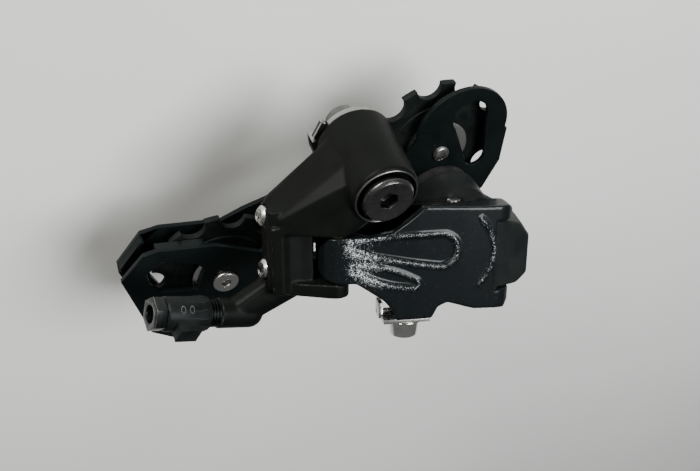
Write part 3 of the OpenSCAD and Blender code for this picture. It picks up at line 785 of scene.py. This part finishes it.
class DERAILLEUR_OT_adjuster(bpy.types.Operator):
    """Cable adjuster: ribbed knob and plated screw"""

    bl_idname = "derailleur.adjuster"
    bl_label = "Cable adjuster"

    def execute(self, context):
        sizes = context.scene.derailleur_sizes
        eased("adjuster_knob", "knob", "knob resin", 0.3 * MM, 2)
        eased("adjuster_screw", "adjuster_tube", "dark plate", sizes.turned_edge, 2)
        self.marks()
        return {"FINISHED"}

    def marks(self):
        """Two raised oval marks on the knob, and the rubbed rim of the hexagonal end."""
        z = ADJUSTER.to_3x3().col[2].normalized()
        out = (OUTBOARD - z * OUTBOARD.dot(z)).normalized()
        out.rotate(Quaternion(z, math.radians(KNOB_MARK_TURN)))
        middle = ADJUSTER.translation
        for number, along in enumerate(KNOB_MARKS):
            place = axes_at(middle + z * along * MM + out * KNOB_R * MM, z, out.cross(z), out)
            oval = turned("knob_mark_%d" % number, round_profile(1.0, 0, 0.16),
                          place @ Matrix.Diagonal((0.62, 1, 1, 1)), 32)
            add_detail(oval, "adjuster", "knob mark")
        # the hexagon's farthest corner sets how the rim is turned
        nut = frame["nodes"]["adjuster_screw"].data
        reach = [(v.co - middle).dot(z) for v in nut.vertices]
        end = max(reach)
        corners = [v.co - middle - z * r for v, r in zip(nut.vertices, reach) if r > end - 1.4 * MM]
        corner = max(corners, key=lambda c: c.length)
        x = corner.normalized()
        place = axes_at(middle, x, z.cross(x), z)
        rim = turned("hexagon_rim", round_profile(corner.length / MM - 0.16, end / MM - 0.3, 0.17), place, 6)
        add_detail(rim, "adjuster", "zinc plate")


# -------------------------------------------------------------------- stage
def soft_light(name, place, target, width, power, colour):
    """A square soft light that faces the target."""
    lamp = bpy.data.lights.new(name, "AREA")
    lamp.shape = "SQUARE"
    lamp.size = width
    lamp.energy = power
    lamp.color = colour
    holder = bpy.data.objects.new(name, lamp)
    holder.location = place
    holder.rotation_euler = (target - place).to_track_quat("-Z", "Y").to_euler()
    bpy.context.scene.collection.objects.link(holder)


class DERAILLEUR_OT_stage(bpy.types.Operator):
    """Pale floor, soft lights and the camera"""

    bl_idname = "derailleur.stage"
    bl_label = "Stage"

    def execute(self, context):
        settings = context.scene.derailleur_stage
        self.floor(settings)
        self.lights(settings)
        self.camera(settings)
        return {"FINISHED"}

    def floor(self, settings):
        shape = bmesh.new()
        bmesh.ops.create_grid(shape, x_segments=1, y_segments=1, size=2.0)
        drop = cad_box[0][2] - settings.floor_drop
        bmesh.ops.translate(shape, verts=shape.verts, vec=Vector((0, 0, drop)))
        floor = piece_from(shape, "floor")
        finish = Finish("floor", tuple(settings.floor_colour), 0.55)
        tone = finish.noise(180 * MM, detail=2)
        finish.paint(finish.blend(finish.span(tone, 0.3, 0.7, 0, 1),
                                  scaled(finish.colour, 0.96), scaled(finish.colour, 1.04)))
        floor.data.materials.append(finish.material)

    def lights(self, settings):
        world = bpy.data.worlds.new("daylight")
        bpy.context.scene.world = world
        world.use_nodes = True
        sky = world.node_tree.nodes["Background"]
        sky.inputs["Color"].default_value = (0.96, 0.98, 1.0, 1)
        sky.inputs["Strength"].default_value = settings.daylight
        middle = (Vector(cad_box[0]) + Vector(cad_box[1])) / 2
        view = Euler(settings.camera_turn).to_matrix()
        key = middle + view @ Vector((-0.34, 0.42, 0.6))
        soft_light("key", key, middle, 0.4, settings.key_power, (1.0, 0.985, 0.95))
        side = middle + view @ Vector((0.5, -0.12, 0.6))
        soft_light("side", side, middle, 0.4, settings.key_power * 0.55, (0.95, 0.98, 1.0))

    def camera(self, settings):
        eye = bpy.data.cameras.new("camera")
        eye.lens = settings.camera_lens
        eye.sensor_width = 36
        eye.clip_start = 0.01
        holder = bpy.data.objects.new("camera", eye)
        holder.location = settings.camera_place
        holder.rotation_euler = settings.camera_turn
        bpy.context.scene.collection.objects.link(holder)
        bpy.context.scene.camera = holder


# ------------------------------------------------------------------- add-on
OPERATORS = (
    DERAILLEUR_OT_stage,
    DERAILLEUR_OT_castings,
    DERAILLEUR_OT_outer_link,
    DERAILLEUR_OT_inner_link,
    DERAILLEUR_OT_cage,
    DERAILLEUR_OT_pulleys,
    DERAILLEUR_OT_mounting_bolt,
    DERAILLEUR_OT_fasteners,
    DERAILLEUR_OT_adjuster,
)


class DERAILLEUR_PT_looks(bpy.types.Panel):
    """Lists the derailleur's pieces and their settings"""

    bl_idname = "DERAILLEUR_PT_looks"
    bl_label = "Derailleur"
    bl_space_type = "VIEW_3D"
    bl_region_type = "UI"
    bl_category = "Derailleur"

    def draw(self, context):
        scene = context.scene
        for group in (scene.derailleur_sizes, scene.derailleur_colours, scene.derailleur_stage):
            box = self.layout.box()
            for name in group.__annotations__:
                box.prop(group, name)
        for operator in OPERATORS:
            self.layout.operator(operator.bl_idname)


GROUPS = {
    "derailleur_sizes": DerailleurSizes,
    "derailleur_colours": DerailleurColours,
    "derailleur_stage": DerailleurStage,
}


def register():
    for kind in (*GROUPS.values(), *OPERATORS, DERAILLEUR_PT_looks):
        bpy.utils.register_class(kind)
    for name, kind in GROUPS.items():
        setattr(bpy.types.Scene, name, bpy.props.PointerProperty(type=kind))


def unregister():
    for name in GROUPS:
        delattr(bpy.types.Scene, name)
    for kind in (DERAILLEUR_PT_looks, *reversed(OPERATORS), *GROUPS.values()):
        bpy.utils.unregister_class(kind)


def main():
    register()
    for operator in OPERATORS:
        group, name = operator.bl_idname.split(".")
        getattr(getattr(bpy.ops, group), name)()


if __name__ == "__main__":
    main()
